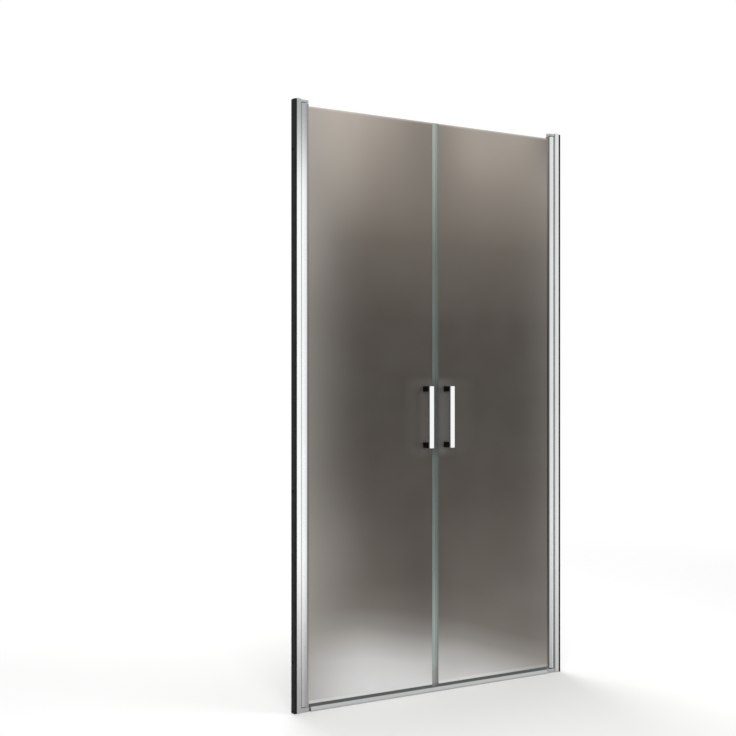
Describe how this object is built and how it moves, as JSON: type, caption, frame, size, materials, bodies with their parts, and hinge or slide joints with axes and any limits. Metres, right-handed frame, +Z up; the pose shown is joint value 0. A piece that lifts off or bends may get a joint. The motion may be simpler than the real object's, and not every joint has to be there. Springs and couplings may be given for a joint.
{
  "type": "shower door",
  "caption": "Double swing shower door for a niche: frosted glass leaves on pivot profiles between wall channels, with bar handles, seals and a threshold rail.",
  "frame": {"origin": "middle of the underside, in the middle plane of the glass", "axes": "+X along the door to the right wall seen from outside, +Y into the shower, +Z up"},
  "size_m": [1, 0.087, 1.8],
  "materials": {
    "bright_aluminium": "bright, polished extrusion",
    "bracket_metal": "satin casting",
    "bright_cap": "bright metallised moulding",
    "steel": "stainless, turned",
    "chrome": "mirror polished",
    "black_post": "satin black",
    "dark_bush": "satin acetal",
    "black_rubber": "matt",
    "frosted_glass": "satin on the outer face, tinted by what is behind",
    "smoke_seal": "soft smoke-grey strip",
    "clear_seal": "soft clear strip with a green tint",
    "magnet": "bonded ferrite strip",
    "clear_washer": "translucent nylon"
  },
  "bodies": {
    "frame": {"threshold_rail": "bright_aluminium", "left_wall_gasket": "black_rubber", "left_wall_profile": "bright_aluminium", "left_profile_cap": "bright_cap", "left_jamb_profile": "bright_aluminium", "left_top_bracket": "bracket_metal", "left_bottom_bracket": "bracket_metal", "left_top_pivot_pin": "steel", "left_bottom_pivot_pin": "steel", "left_jamb_screws": "steel", "left_screw_caps": "bright_cap", "right_wall_gasket": "black_rubber", "right_wall_profile": "bright_aluminium", "right_profile_cap": "bright_cap", "right_jamb_profile": "bright_aluminium", "right_top_bracket": "bracket_metal", "right_bottom_bracket": "bracket_metal", "right_top_pivot_pin": "steel", "right_bottom_pivot_pin": "steel", "right_jamb_screws": "steel", "right_screw_caps": "bright_cap"},
    "left_leaf": {"left_hinge_profile": "bright_aluminium", "left_top_bush": "dark_bush", "left_bottom_bush": "dark_bush", "left_glass": "frosted_glass", "left_glazing_gasket": "black_rubber", "left_bottom_seal": "smoke_seal", "left_magnet_seal": "clear_seal", "left_magnet_strip": "magnet", "left_outer_handle_bar": "chrome", "left_outer_handle_posts": "black_post", "left_inner_handle_bar": "chrome", "left_inner_handle_posts": "black_post", "left_handle_studs": "steel", "left_handle_sleeves": "clear_washer", "left_handle_washers": "clear_washer", "left_handle_grub_screws": "steel"},
    "right_leaf": {"right_hinge_profile": "bright_aluminium", "right_top_bush": "dark_bush", "right_bottom_bush": "dark_bush", "right_glass": "frosted_glass", "right_glazing_gasket": "black_rubber", "right_bottom_seal": "smoke_seal", "right_magnet_seal": "clear_seal", "right_magnet_strip": "magnet", "right_outer_handle_bar": "chrome", "right_outer_handle_posts": "black_post", "right_inner_handle_bar": "chrome", "right_inner_handle_posts": "black_post", "right_handle_studs": "steel", "right_handle_sleeves": "clear_washer", "right_handle_washers": "clear_washer", "right_handle_grub_screws": "steel"}
  },
  "joints": [
    {"name": "left_swing", "type": "hinge", "parent": "frame", "child": "left_leaf", "pos_m": [-0.4685, 0, 0.9], "axis": [0, 0, 1], "range_deg": [-90, 80]},
    {"name": "right_swing", "type": "hinge", "parent": "frame", "child": "right_leaf", "pos_m": [0.4685, 0, 0.9], "axis": [0, 0, 1], "range_deg": [-80, 90]}
  ]
}
